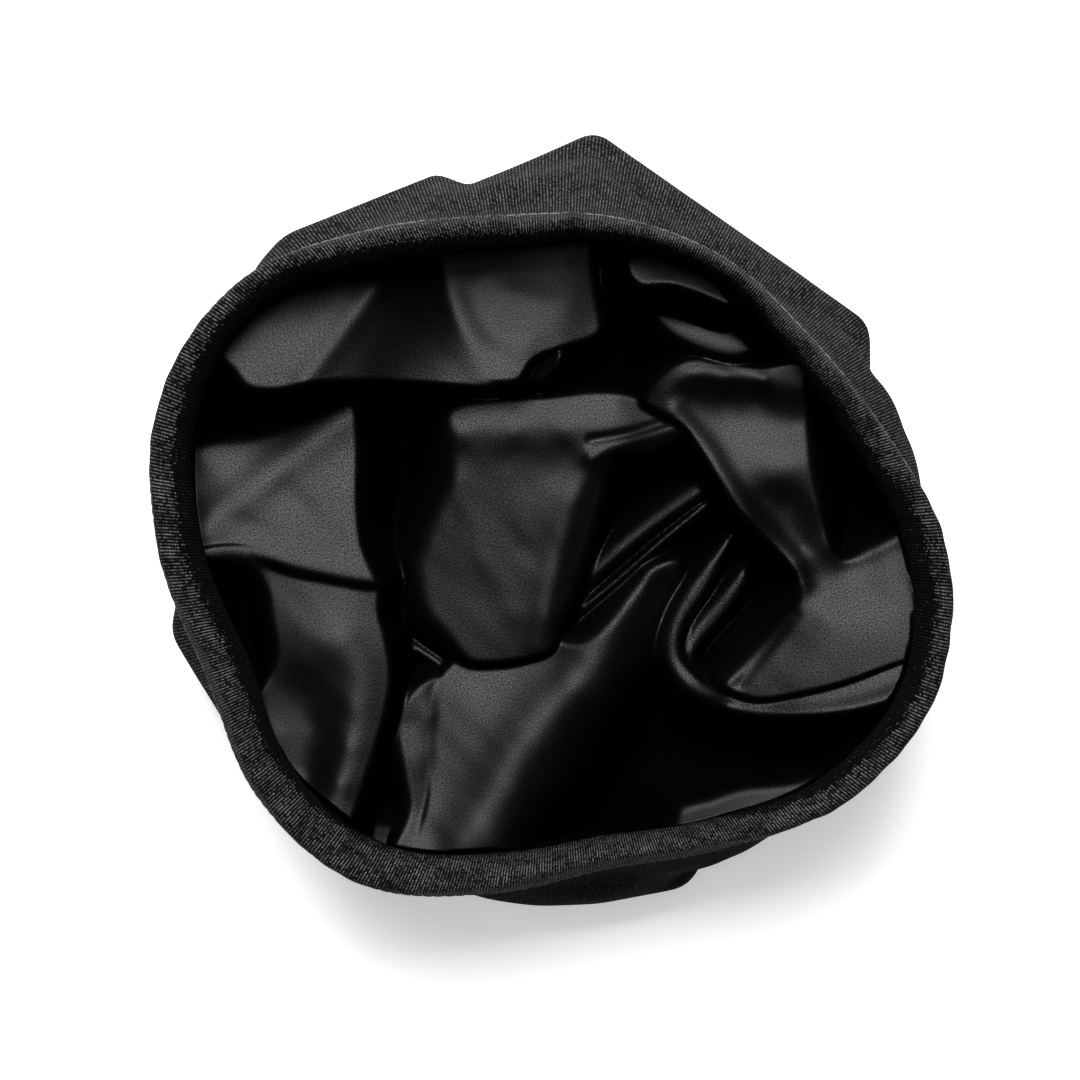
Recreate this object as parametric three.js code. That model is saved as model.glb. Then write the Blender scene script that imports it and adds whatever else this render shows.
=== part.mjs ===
// A knitted beanie with a satin lining, lying mouth up with its crown slumped beneath it.
// Millimetres, +Z up. The origin is on the surface it rests on, under the middle of the mouth.
import * as THREE from "three";
import { mergeVertices } from "three/addons/utils/BufferGeometryUtils.js";

// Driving dimensions
const hemDepth = 13; // from the crest of the folded hem down to its lower edges
const hemCloth = 1.7; // each leg of the hem, two layers of jersey
const hemRoof = 2.6; // cloth over the slot at the crest
const hemPinch = 0.9; // how far the line of stitches draws in the hem's outer leg
const jersey = 1.5; // wall of the shell
const satin = 1; // wall of the lining
const clear = 0.3; // gap between neighbouring pieces
const slot = jersey + satin + 3 * clear; // room in the hem for the two edges it holds
const hemWidth = 2 * hemCloth + slot;
const footShare = 0.76; // radius of the flattened crown, as a share of the shell's reach
const stations = 60; // sections round the shell and the hem
const crestSteps = 6; // facets over the crest of the hem
const underSteps = 5; // facets from the shell's widest line down to the surface
const tipRounding = 3; // degrees either side over which a corner of the shell is rounded
const liningCells = 36; // cells across the lining
const relaxCell = 2; // spacing of the grid on which the lining is let hang
const relaxSpan = 110; // half the side of that grid
const relaxRounds = 260; // passes in which it settles
const foldRoll = 2.8; // half the width over which the satin rolls down at a fold's edge
const foldReach = 16; // how far from a fold's edge its drop is felt
const foldGrip = 2.2; // half the width of the strip that holds a fold's crest at its height
const drawStrength = 0.8; // how firmly a line of one millimetre's width draws the satin to its height
const evenRounds = 12; // passes in which the lining's cells are evened out
const steepest = 4; // a steep stretch of satin is at most this many walls thick, measured upright

// Rows with named columns.
function table(columns, rows) {
  const names = columns.split(" ");
  return rows.map((row) => Object.fromEntries(names.map((name, i) => [name, row[i]])));
}

// The mouth: a row for every 20 degrees, counted from +X towards +Y.
// outer and inner are the radii of the hem's outside and of its lower inside edge, crest is its height.
const mouth = table("outer inner crest", [
  [95, 86, 79],
  [87, 77, 82],
  [82, 74.2, 86],
  [81, 73.6, 89],
  [80.7, 73.2, 91],
  [80.7, 73.2, 91],
  [88.5, 80, 89],
  [99.5, 91.5, 86],
  [101, 92, 83],
  [94.5, 84.5, 80],
  [88, 78.5, 76],
  [92.5, 83, 72],
  [93.5, 83, 69],
  [85, 75.5, 67],
  [79.8, 71.8, 66],
  [85, 77.4, 67],
  [94, 86.2, 71],
  [98.8, 91, 75],
]);

// The slumped crown, seen from above: the tips its cloth is stretched between, and the height of each.
const tips = table("x y height", [
  [11, 107, 26],
  [80, 58, 30],
  [88, 30, 34],
  [96, -4, 36],
  [93, -33, 36],
  [71, -60, 34],
  [48, -77, 30],
  [34, -86, 26],
  [12, -89, 26],
  [-3, -89, 26],
  [-18, -87, 28],
  [-46, -79, 32],
  [-70, -59, 34],
  [-81, -43, 32],
  [-97, -21, 28],
  [-97, -10, 28],
  [-95, 8, 34],
  [-92, 40, 34],
  [-74, 73, 32],
  [-68, 80, 30],
  [-28, 97, 26],
  [-23, 93, 26],
]);

// The shell's wall from the hem down to its widest line: share of the way down, share of the way out,
// and how far it is drawn in.
const drape = table("down out tuck", [
  [0.05, 0.04, -1.4],
  [0.18, 0.14, -0.8],
  [0.34, 0.34, 0.8],
  [0.5, 0.55, 1.2],
  [0.67, 0.75, 0.8],
  [0.84, 0.91, 0.2],
  [1, 1, 0],
]);

// Slouch folds of the shell: direction and height of the middle, half width in degrees, half height,
// how far the fold stands out, and how its line climbs per degree.
const slouches = table("at height turn tall out climb", [
  [12, 50, 24, 7, 3.5, 0.25],
  [30, 36, 22, 7, -3, 0.4],
  [62, 54, 20, 7, -3, 0.3],
  [100, 50, 14, 8, 4, -0.4],
  [128, 46, 14, 9, -3, 0.5],
  [160, 46, 26, 7, 4, -0.2],
  [185, 34, 18, 7, -3, 0.3],
  [212, 40, 20, 7, 3.5, 0.35],
  [240, 34, 22, 7, -3, -0.3],
  [275, 36, 24, 6, 3.5, 0.15],
  [300, 30, 18, 7, -2.5, -0.35],
  [325, 42, 22, 7, 4, -0.3],
]);

// Fold edges of the lining. Each row is a station along the edge, with the height of the crest there
// and the drop beside it. The satin falls away to the left or the right of the edge's own direction.
const farFold = table("x y crest drop", [
  [-80, 46, 67, 0],
  [-69, 38, 70, 10],
  [-48, 40, 66, 12],
  [-16, 39, 62, 7],
  [-4, 44, 65, 12],
  [14, 52, 63, 14],
  [17, 66, 60, 10],
]);
const knotFold = table("x y crest drop", [
  [61, 46, 64, 0],
  [46, 46, 64, 8],
  [34, 48, 62, 10],
  [24, 38, 60, 4],
  [34, 23, 61, 11],
  [51, 1, 62, 18],
  [61, -8, 60, 14],
  [50, -26, 57, 12],
  [43, -34, 54, 0],
]);
const swooshFold = table("x y crest drop", [
  [45, 5, 50, 0],
  [29, -17, 50, 6],
  [26, -26, 51, 14],
  [35, -39, 53, 24],
  [50, -43, 56, 28],
  [67, -42, 61, 24],
  [87, -33, 65, 0],
]);
const domeFold = table("x y crest drop", [
  [33, 28, 58, 0],
  [18, 23, 54, 12],
  [8, -6, 55, 9],
  [2, -24, 55, 0],
]);
const lowFold = table("x y crest drop", [
  [-34, -72, 55, 0],
  [-38, -55, 54, 12],
  [-37, -43, 54, 10],
  [-26, -31, 54, 4],
  [-1, -26, 56, 3],
  [19, -10, 51, 6],
  [32, -3, 48, 0],
]);
const leftFold = table("x y crest drop", [
  [-87, 29, 53, 0],
  [-66, 31, 55, 2],
  [-48, 38, 57, 10],
  [-45, 7, 60, 16],
  [-38, -27, 60, 10],
  [-44, -56, 61, 10],
  [-51, -72, 61, 0],
]);
const overlapFold = table("x y crest drop", [
  [-85, 0, 62, 1],
  [-67, 1, 61, 1],
  [-43, -7, 61, 0],
]);
const folds = [
  { edge: farFold, fallsLeft: false },
  { edge: knotFold, fallsLeft: false },
  { edge: swooshFold, fallsLeft: false },
  { edge: domeFold, fallsLeft: true },
  { edge: lowFold, fallsLeft: true },
  { edge: leftFold, fallsLeft: true },
  { edge: overlapFold, fallsLeft: true },
];

// Broad forms of the lining between those edges: lines along which the satin lies at a height.
const patch = (width, rows) => ({ width, line: table("x y height", rows) });
const forms = {
  farLeft: patch(8, [[-74, 49, 68], [-60, 58, 66]]),
  farValley: patch(5, [[-22, 67, 60], [-27, 55, 60], [-33, 43, 63]]),
  farRight: patch(7, [[-4, 67, 62], [-5, 50, 65]]),
  farHollow: patch(3, [[22, 66, 50], [21, 58, 46]]),
  farLobe: patch(4, [[32, 62, 63], [43, 57, 62]]),
  farPocket: patch(3, [[20, 48, 45], [36, 51, 55], [51, 49, 57]]),
  knotDip: patch(3, [[36, 40, 58], [45, 40, 58], [53, 39, 60]]),
  knotTop: patch(4, [[56, 33, 61], [53, 23, 61]]),
  wallRidge: patch(3, [[63, 27, 63], [66, 9, 64], [68, -2, 62]]),
  wallHollow: patch(4, [[74, 25, 46], [76, 14, 44], [80, 7, 53]]),
  wallSlope: patch(9, [[80, -11, 64], [67, -19, 61], [54, -30, 57]]),
  pit: patch(4, [[51, 0, 34], [57, -9, 30], [49, -20, 33]]),
  creaseHollow: patch(4, [[21, 19, 30], [25, 15, 30], [16, 4, 40]]),
  creaseBed: patch(3, [[7, -16, 47], [19, -4, 46], [40, 13, 49]]),
  domeStrip: patch(4, [[-23, 34, 53], [-3, 35, 54], [24, 34, 57]]),
  dome: patch(10, [[-11, 14, 53], [-14, -4, 52]]),
  domeFoot: patch(4, [[-28, -20, 50], [-15, -26, 52]]),
  gap: patch(3, [[-38, 36, 38], [-38, 17, 38], [-36, -3, 40], [-33, -18, 44]]),
  lowRidge: patch(3, [[17, -19, 50], [3, -32, 54], [-10, -46, 55], [-28, -72, 56]]),
  lowFall: patch(4, [[24, -34, 36], [12, -44, 38], [4, -57, 36], [-3, -67, 38]]),
  lowLobe: patch(3, [[-33, -39, 54], [-34, -52, 54], [-32, -64, 53]]),
  sideGap: patch(2, [[-38, -46, 52], [-41, -56, 50], [-45, -64, 52]]),
  leftTop: patch(8, [[-67, 19, 58], [-80, 9, 59]]),
  leftSlope: patch(4, [[-78, 28, 51], [-62, 34, 53], [-52, 37, 55]]),
  leftHollow: patch(3, [[-80, -6, 52], [-75, -16, 49], [-72, -24, 52]]),
  leftLow: patch(5, [[-57, -9, 61], [-51, -21, 61]]),
  leftDip: patch(3, [[-63, -31, 56], [-57, -37, 57]]),
  nearHollow: patch(4, [[22, -46, 28], [34, -48, 24], [50, -50, 24], [68, -50, 32]]),
  nearFloor: patch(3, [[6, -66, 32], [18, -62, 27], [34, -60, 27], [52, -58, 32]]),
  nearWall: patch(3, [[44, -66, 43], [61, -63, 48]]),
};

// Smooth curve between b and c, with its neighbours a and d.
function cubic(a, b, c, d, t) {
  const bend = 2 * a - 5 * b + 4 * c - d;
  const twist = 3 * b - a - 3 * c + d;
  return 0.5 * (2 * b + (c - a) * t + bend * t * t + twist * t * t * t);
}

// Value of a column of the mouth in a direction.
function mouthAt(column, angle) {
  const count = mouth.length;
  const turn = (angle / (2 * Math.PI)) * count;
  const first = Math.floor(turn);
  const near = (k) => mouth[(((first + k) % count) + count) % count][column];
  return cubic(near(-1), near(0), near(1), near(2), turn - first);
}

// Samples of a smooth curve through a table's rows, in all its columns.
function curve(rows, perRow = 6) {
  const names = Object.keys(rows[0]);
  const last = rows.length - 1;
  const at = (k, name) => {
    if (k < 0) return 2 * rows[0][name] - rows[1][name];
    if (k > last) return 2 * rows[last][name] - rows[last - 1][name];
    return rows[k][name];
  };
  const samples = [];
  for (let step = 0; step <= last * perRow; step++) {
    const k = Math.min(Math.floor(step / perRow), last - 1);
    const t = step / perRow - k;
    const pick = (name) => cubic(at(k - 1, name), at(k, name), at(k + 1, name), at(k + 2, name), t);
    samples.push(Object.fromEntries(names.map((name) => [name, pick(name)])));
  }
  return samples;
}

// The place on a sampled curve nearest to a point: its columns, and the distance, plus to the left.
function nearest(samples, x, y) {
  let best = { gap: Infinity };
  for (let k = 0; k + 1 < samples.length; k++) {
    const a = samples[k];
    const b = samples[k + 1];
    const ux = b.x - a.x;
    const uy = b.y - a.y;
    const share = ((x - a.x) * ux + (y - a.y) * uy) / (ux * ux + uy * uy);
    const t = THREE.MathUtils.clamp(share, 0, 1);
    const gap = Math.hypot(x - a.x - t * ux, y - a.y - t * uy);
    if (gap < best.gap) best = { gap, a, b, t, left: ux * (y - a.y) - uy * (x - a.x) > 0 };
  }
  const value = (name) => THREE.MathUtils.lerp(best.a[name], best.b[name], best.t);
  return { value, offset: best.left ? best.gap : -best.gap };
}

const bell = (offset, width) => Math.exp(-((offset / width) ** 2));
const foldCurves = folds.map(({ edge, fallsLeft }) => ({ samples: curve(edge), fallsLeft }));
const formCurves = Object.values(forms).map(({ line, width }) => ({ samples: curve(line), width }));

// Height of the satin where it leaves the hem.
const seamHeight = (angle) => mouthAt("crest", angle) - hemDepth - clear;

// Radius at which the hanging part of the lining ends, just inside the hem.
const seamRadius = (angle) => mouthAt("inner", angle) - satin;

// How far the satin drops beside the fold edges.
function dropAt(x, y) {
  let drop = 0;
  for (const { samples, fallsLeft } of foldCurves) {
    const { value, offset } = nearest(samples, x, y);
    const beside = fallsLeft ? offset : -offset;
    const ramp = THREE.MathUtils.smootherstep(beside, -foldRoll, foldRoll);
    drop += value("drop") * ramp * bell(Math.max(beside, 0), foldReach);
  }
  return drop;
}

// The lining without its drops: a membrane held at the hem and drawn to its crests and broad forms.
function hangMembrane() {
  const side = Math.round((2 * relaxSpan) / relaxCell) + 1;
  const height = new Float64Array(side * side);
  const pull = new Float64Array(side * side);
  const stiff = new Float64Array(side * side);
  const free = [];
  const draw = (cell, width, offset, target) => {
    const strength = (drawStrength / width ** 2) * bell(offset, width);
    stiff[cell] += strength;
    pull[cell] += strength * target;
  };
  for (let row = 0; row < side; row++) {
    for (let column = 0; column < side; column++) {
      const cell = row * side + column;
      const x = column * relaxCell - relaxSpan;
      const y = row * relaxCell - relaxSpan;
      const angle = Math.atan2(y, x);
      height[cell] = seamHeight(angle);
      if (Math.hypot(x, y) >= seamRadius(angle)) continue;
      free.push(cell);
      const drop = dropAt(x, y);
      for (const { samples, width } of formCurves) {
        const { value, offset } = nearest(samples, x, y);
        draw(cell, width, offset, value("height") + drop);
      }
      for (const { samples } of foldCurves) {
        const { value, offset } = nearest(samples, x, y);
        draw(cell, foldGrip, offset, value("crest"));
      }
    }
  }
  const area = relaxCell * relaxCell;
  for (let round = 0; round < relaxRounds; round++) {
    for (const cell of free) {
      const around = height[cell - 1] + height[cell + 1] + height[cell - side] + height[cell + side];
      height[cell] = (around + area * pull[cell]) / (4 + area * stiff[cell]);
    }
  }
  return (x, y) => {
    const across = (x + relaxSpan) / relaxCell;
    const up = (y + relaxSpan) / relaxCell;
    const i = Math.floor(across);
    const j = Math.floor(up);
    const low = THREE.MathUtils.lerp(height[j * side + i], height[j * side + i + 1], across - i);
    const high = THREE.MathUtils.lerp(height[(j + 1) * side + i], height[(j + 1) * side + i + 1], across - i);
    return THREE.MathUtils.lerp(low, high, up - j);
  };
}

// A closed geometry from lists of triangle corners.
class Skin {
  corners = [];

  triangle(a, b, c) {
    this.corners.push(a, b, c);
  }

  // A quad, split along its shorter diagonal.
  quad(a, b, c, d) {
    if (a.distanceTo(c) <= b.distanceTo(d)) {
      this.triangle(a, b, c);
      this.triangle(a, c, d);
    } else {
      this.triangle(a, b, d);
      this.triangle(b, c, d);
    }
  }

  // Strips between loops that run the same way round, each to the next.
  strips(loops) {
    for (let k = 0; k + 1 < loops.length; k++) {
      const [from, to] = [loops[k], loops[k + 1]];
      from.forEach((point, i) => {
        const next = (i + 1) % from.length;
        this.quad(point, to[i], to[next], from[next]);
      });
    }
  }

  // A fan that closes a loop; facing says whether it is the first or the last loop of its strips.
  fan(loop, centre, facing) {
    loop.forEach((point, i) => {
      const next = loop[(i + 1) % loop.length];
      if (facing === "first") this.triangle(centre, point, next);
      else this.triangle(centre, next, point);
    });
  }

  geometry() {
    const geometry = new THREE.BufferGeometry().setFromPoints(this.corners);
    return mergeVertices(geometry, 1e-4);
  }
}

const turnAngles = Array.from({ length: stations }, (_, i) => (i * 2 * Math.PI) / stations);
const polar = (angle, radius, z) => new THREE.Vector3(radius * Math.cos(angle), radius * Math.sin(angle), z);

// The folded hem round the mouth: two legs over a slot that holds the edges of shell and lining.
function hemGeometry() {
  const section = (angle) => {
    const outer = mouthAt("outer", angle);
    const inner = mouthAt("inner", angle);
    const crest = mouthAt("crest", angle);
    const round = hemWidth / 2;
    const points = [[inner, crest - hemDepth]];
    for (let step = 0; step <= crestSteps; step++) {
      const lean = Math.PI * (1 - step / crestSteps);
      points.push([outer - round + round * Math.cos(lean), crest - round + round * Math.sin(lean)]);
    }
    points.push([outer - hemPinch, crest - hemDepth]);
    points.push([outer - hemCloth, crest - hemDepth]);
    points.push([outer - hemCloth, crest - hemRoof]);
    points.push([outer - hemCloth - slot, crest - hemRoof]);
    points.push([inner + hemCloth, crest - hemDepth]);
    return points.map(([radius, z]) => polar(angle, radius, z));
  };
  const sections = turnAngles.map(section);
  const loops = sections[0].map((_, k) => sections.map((points) => points[k]));
  const skin = new Skin();
  skin.strips([...loops, loops[0]]);
  return skin.geometry();
}

// Reach of the slumped crown in a direction, and the height of its widest line there.
function crownAt(angle) {
  const ray = new THREE.Vector2(Math.cos(angle), Math.sin(angle));
  for (let k = 0; k < tips.length; k++) {
    const a = tips[(k + 1) % tips.length];
    const b = tips[k];
    const along = new THREE.Vector2(b.x - a.x, b.y - a.y);
    const turn = ray.x * along.y - ray.y * along.x;
    const reach = (a.x * along.y - a.y * along.x) / turn;
    const share = (a.x * ray.y - a.y * ray.x) / turn;
    if (reach > 0 && share >= 0 && share <= 1) {
      return { reach, height: THREE.MathUtils.lerp(a.height, b.height, share) };
    }
  }
  throw new Error("the tips leave a gap in the crown's outline");
}

// The same with the tips rounded off.
function roundedCrown(angle) {
  const turns = [-1, -0.5, 0, 0.5, 1].map((k) => angle + THREE.MathUtils.degToRad(k * tipRounding));
  const found = turns.map(crownAt);
  const mean = (name) => found.reduce((sum, one) => sum + one[name], 0) / found.length;
  return { reach: mean("reach"), height: mean("height") };
}

// How far the slouch folds push the shell's wall out.
function slouchAt(angle, z) {
  let out = 0;
  for (const fold of slouches) {
    const away = THREE.MathUtils.euclideanModulo(THREE.MathUtils.radToDeg(angle) - fold.at + 180, 360) - 180;
    out += fold.out * bell(away, fold.turn) * bell(z - fold.height - fold.climb * away, fold.tall);
  }
  return out;
}

// Outside of the shell from its edge in the hem down to the flattened crown, a point for each loop.
function shellProfile(angle) {
  const crest = mouthAt("crest", angle);
  const edge = mouthAt("outer", angle) - hemCloth - clear;
  const hemFoot = crest - hemDepth;
  const { reach, height } = roundedCrown(angle);
  const foot = reach * footShare;
  const points = [
    [edge, crest - hemRoof - clear],
    [edge, hemFoot],
  ];
  for (const { down, out, tuck } of drape) {
    const z = THREE.MathUtils.lerp(hemFoot, height, down);
    const ease = Math.sin(Math.PI * Math.min(down, 0.5));
    const radius = THREE.MathUtils.lerp(edge, reach, out) - tuck;
    points.push([radius + ease * slouchAt(angle, z), z]);
  }
  const wide = points.at(-1)[0];
  for (let step = 1; step <= underSteps; step++) {
    const turn = ((Math.PI / 2) * step) / underSteps;
    points.push([foot + (wide - foot) * Math.cos(turn), height * (1 - Math.sin(turn))]);
  }
  points.push([foot / 2, 0]);
  return points.map(([radius, z]) => polar(angle, radius, z));
}

// The shell: a knitted bag whose crown is pressed flat where it rests.
function shellGeometry() {
  const profiles = turnAngles.map(shellProfile);
  const outside = profiles[0].map((_, k) => profiles.map((points) => points[k]));
  const inside = outside.map((loop, k) =>
    loop.map((point, i) => {
      const held = k < 2;
      const ahead = loop[(i + 1) % stations];
      const behind = loop[(i + stations - 1) % stations];
      const above = outside[Math.max(k - 1, 0)][i];
      const below = outside[Math.min(k + 1, outside.length - 1)][i];
      const round = new THREE.Vector3().subVectors(ahead, behind);
      const fall = new THREE.Vector3().subVectors(below, above);
      const out = held ? new THREE.Vector3(point.x, point.y, 0) : fall.cross(round);
      return point.clone().addScaledVector(out.normalize(), -jersey);
    }),
  );
  const skin = new Skin();
  const floor = new THREE.Vector3(0, 0, 0);
  const loops = [...inside.toReversed(), ...outside];
  skin.fan(loops[0], new THREE.Vector3(0, 0, jersey), "first");
  skin.strips(loops);
  skin.fan(loops.at(-1), floor, "last");
  return skin.geometry();
}

// A square grid drawn out into the lining's outline, closer where the satin is steep.
function liningGrid(heightAt) {
  const side = liningCells + 1;
  const grid = [];
  for (let row = 0; row < side; row++) {
    for (let column = 0; column < side; column++) {
      const u = (2 * column) / liningCells - 1;
      const v = (2 * row) / liningCells - 1;
      const across = u * Math.sqrt(1 - (v * v) / 2);
      const up = v * Math.sqrt(1 - (u * u) / 2);
      const angle = Math.atan2(up, across);
      const point = polar(angle, Math.hypot(across, up) * seamRadius(angle), 0);
      point.z = heightAt(point.x, point.y);
      grid.push(point);
    }
  }
  for (let round = 0; round < evenRounds; round++) {
    for (let row = 1; row < side - 1; row++) {
      for (let column = 1; column < side - 1; column++) {
        const at = row * side + column;
        const around = [grid[at - 1], grid[at + 1], grid[at - side], grid[at + side]];
        const weights = around.map((other) => grid[at].distanceTo(other));
        const total = weights.reduce((sum, weight) => sum + weight, 0);
        const x = around.reduce((sum, other, k) => sum + weights[k] * other.x, 0) / total;
        const y = around.reduce((sum, other, k) => sum + weights[k] * other.y, 0) / total;
        grid[at].set(x, y, heightAt(x, y));
      }
    }
  }
  return { grid, side };
}

// The lining: satin that hangs in folds inside the mouth, with its edge turned up into the hem.
function liningGeometry() {
  const membrane = hangMembrane();
  const heightAt = (x, y) => {
    const angle = Math.atan2(y, x);
    const inward = seamRadius(angle) - Math.hypot(x, y);
    return membrane(x, y) - dropAt(x, y) * THREE.MathUtils.smoothstep(inward, 0, foldRoll * 2);
  };
  const { grid, side } = liningGrid(heightAt);
  const rim = [];
  for (let k = 0; k < liningCells; k++) rim.push(k);
  for (let k = 0; k < liningCells; k++) rim.push(k * side + liningCells);
  for (let k = liningCells; k > 0; k--) rim.push(liningCells * side + k);
  for (let k = liningCells; k > 0; k--) rim.push(k * side);
  for (const at of rim) grid[at].z = seamHeight(Math.atan2(grid[at].y, grid[at].x));

  const sheet = new THREE.BufferGeometry().setFromPoints(grid);
  const quads = [];
  for (let row = 0; row < liningCells; row++) {
    for (let column = 0; column < liningCells; column++) {
      const at = row * side + column;
      quads.push([at, at + 1, at + side + 1, at + side]);
    }
  }
  sheet.setIndex(quads.flatMap(([a, b, c, d]) => [a, b, c, a, c, d]));
  sheet.computeVertexNormals();
  const normals = sheet.getAttribute("normal");
  const under = grid.map((point, k) => {
    const upright = Math.min(1 / Math.max(normals.getZ(k), 1e-3), steepest);
    return point.clone().setZ(point.z - satin * upright);
  });
  for (const at of rim) under[at].z = grid[at].z - satin;

  // The edge passes under the hem's inner leg and turns up into its slot.
  const edge = rim.map((at) => {
    const angle = Math.atan2(grid[at].y, grid[at].x);
    const crest = mouthAt("crest", angle);
    const behindLeg = mouthAt("inner", angle) + hemCloth + clear;
    const inSlot = mouthAt("outer", angle) - hemCloth - slot + clear;
    return [
      polar(angle, behindLeg, seamHeight(angle)),
      polar(angle, inSlot, crest - hemRoof - clear),
      polar(angle, inSlot + satin, crest - hemRoof - clear),
      polar(angle, behindLeg + satin, seamHeight(angle) - satin),
    ];
  });
  const skin = new Skin();
  for (const [a, b, c, d] of quads) {
    skin.quad(grid[a], grid[b], grid[c], grid[d]);
    skin.quad(under[a], under[d], under[c], under[b]);
  }
  const edgeLoops = edge[0].map((_, k) => edge.map((points) => points[k]));
  skin.strips([rim.map((at) => grid[at]), ...edgeLoops, rim.map((at) => under[at])]);
  return skin.geometry();
}

const knit = new THREE.MeshStandardMaterial({ color: 0x1c1c1e, roughness: 0.95, metalness: 0 });
const hemKnit = new THREE.MeshStandardMaterial({ color: 0x19191b, roughness: 0.95, metalness: 0 });
const satinCloth = new THREE.MeshStandardMaterial({ color: 0x101012, roughness: 0.4, metalness: 0 });

function piece(name, geometry, material) {
  const mesh = new THREE.Mesh(geometry, material);
  mesh.name = name;
  return mesh;
}

const beanie = new THREE.Group();
beanie.add(piece("outer_shell", shellGeometry(), knit));
beanie.add(piece("rim_band", hemGeometry(), hemKnit));
beanie.add(piece("satin_lining", liningGeometry(), satinCloth));

export default beanie;
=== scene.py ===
# A satin-lined knitted beanie lying mouth up, its crown slumped beneath it.
import math

import bpy
import numpy as np
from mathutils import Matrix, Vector


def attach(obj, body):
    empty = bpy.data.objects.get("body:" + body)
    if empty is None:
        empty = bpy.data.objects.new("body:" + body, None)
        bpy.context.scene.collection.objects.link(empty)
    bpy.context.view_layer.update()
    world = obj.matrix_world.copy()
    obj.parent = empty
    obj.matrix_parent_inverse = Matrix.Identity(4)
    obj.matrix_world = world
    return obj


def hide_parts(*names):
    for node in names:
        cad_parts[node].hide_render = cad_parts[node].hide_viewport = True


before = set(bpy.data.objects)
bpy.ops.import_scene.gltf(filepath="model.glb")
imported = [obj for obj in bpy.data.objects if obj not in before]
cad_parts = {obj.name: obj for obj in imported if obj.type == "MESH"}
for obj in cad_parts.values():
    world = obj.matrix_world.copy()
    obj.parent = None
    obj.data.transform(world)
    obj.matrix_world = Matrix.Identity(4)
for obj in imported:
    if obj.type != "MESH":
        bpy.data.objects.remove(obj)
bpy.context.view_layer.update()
mm = 0.001
draw = np.random.default_rng(11)  # the one source of chance

# The mouth, every 20 degrees from +X towards +Y, in millimetres.
mouth = {
    "outer": [95, 84.5, 79, 80, 79.8, 80, 87.6, 99, 101, 94.5, 87.6, 92.5, 93.5, 83.5, 77.2, 82.6, 94, 98.8],
    "inner": [86, 77, 74.2, 76.3, 74.8, 73.2, 80, 91.5, 92, 84.5, 78.5, 83, 83, 75.5, 71.2, 76.4, 86.2, 91],
    "crest": [79, 82, 86, 89, 91, 91, 89, 86, 83, 80, 76, 72, 69, 67, 66, 67, 71, 75],
    # the hem's foot beyond outer
    "flare": [0, 0.8, 1.6, 1.5, 1.5, 1.5, 1.3, 0.8, 0.4, 0.8, 1.8, 1.2, 0.4, 1.6, 1.8, 1.4, 0, 0],
    # the satin beyond inner
    "tuck": [0, 0.5, 1, 0.6, 1.6, 2, 1.4, 0.8, 0.6, 1, 0.4, 0, -0.2, -0.4, -0.4, -0.4, -0.2, 0],
    # share of the hem's width, from its inner side, on which shade is painted into the knit
    "shade": [0.5, 0.35, 0.3, 0.4, 0.5, 0.5, 0.55, 0.5, 0.42, 0.4, 0.36, 0.22, 0.05, 0, 0, 0, 0.3, 0.45],
}


# Smooth curve between b and c, with its neighbours a and d.
def cubic(a, b, c, d, t):
    return 0.5 * (2 * b + (c - a) * t + (2 * a - 5 * b + 4 * c - d) * t**2 + (3 * b - a - 3 * c + d) * t**3)


# A column of the mouth in any direction.
def mouthAt(column, angle):
    rows = np.array(mouth[column], float)
    turn = np.asarray(angle) / (2 * math.pi) * len(rows)
    first = np.floor(turn).astype(int)
    a, b, c, d = (rows[(first + k) % len(rows)] for k in (-1, 0, 1, 2))
    return cubic(a, b, c, d, turn - first)


# Samples of a smooth curve through rows of numbers.
def curve(rows, perRow):
    rows = np.array(rows, float)
    ends = np.concatenate([2 * rows[:1] - rows[1:2], rows, 2 * rows[-1:] - rows[-2:-1]])
    at = np.linspace(0, len(rows) - 1, (len(rows) - 1) * perRow + 1)
    first = np.minimum(at.astype(int), len(rows) - 2)
    t = (at - first).reshape((-1,) + (1,) * (rows.ndim - 1))
    return cubic(ends[first], ends[first + 1], ends[first + 2], ends[first + 3], t)


def bell(offset, width):
    return np.exp(-((offset / width) ** 2))


def ramp(share):
    t = np.clip(share, 0, 1)
    return t * t * t * (t * (6 * t - 15) + 10)


# A slow wander along the angle, made of a few sines.
def wander(angle, waves, size):
    total = 0
    for wave in waves:
        total = total + np.sin(wave * angle + draw.uniform(0, 2 * math.pi)) * draw.uniform(0.5, 1)
    return size * total / len(waves)


def deselect():
    if bpy.context.object and bpy.context.object.mode != "OBJECT":
        bpy.ops.object.mode_set(mode="OBJECT")
    bpy.ops.object.select_all(action="DESELECT")


# A grid drawn out to the given points, rows first, joined where its sides meet; gap is the shade painted on
# it there.
def clothPiece(name, points, gap):
    deselect()
    rows, columns = points.shape[:2]
    bpy.ops.mesh.primitive_grid_add(x_subdivisions=columns - 1, y_subdivisions=rows - 1, size=1)
    piece = bpy.context.object
    piece.name = piece.data.name = name
    piece.data.vertices.foreach_set("co", (points.reshape(-1, 3) * mm).astype(np.float32).ravel())
    piece.data.update()
    # the painted shade is kept on the cloth as its gap attribute
    paintedShade = piece.data.attributes.new("gap", "FLOAT", "POINT")
    paintedShade.data.foreach_set("value", gap.astype(np.float32).ravel())
    bpy.ops.object.mode_set(mode="EDIT")
    bpy.ops.mesh.select_all(action="SELECT")
    bpy.ops.mesh.remove_doubles(threshold=0.000002)
    bpy.ops.object.mode_set(mode="OBJECT")
    bpy.ops.object.shade_smooth()
    return piece


# Gives a cloth its thickness, on the side away from its faces.
def thicken(piece, wall):
    deselect()
    piece.select_set(True)
    bpy.context.view_layer.objects.active = piece
    solid = piece.modifiers.new("wall", "SOLIDIFY")
    solid.thickness = wall * mm
    solid.offset = -1
    bpy.ops.object.modifier_apply(modifier=solid.name)


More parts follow.
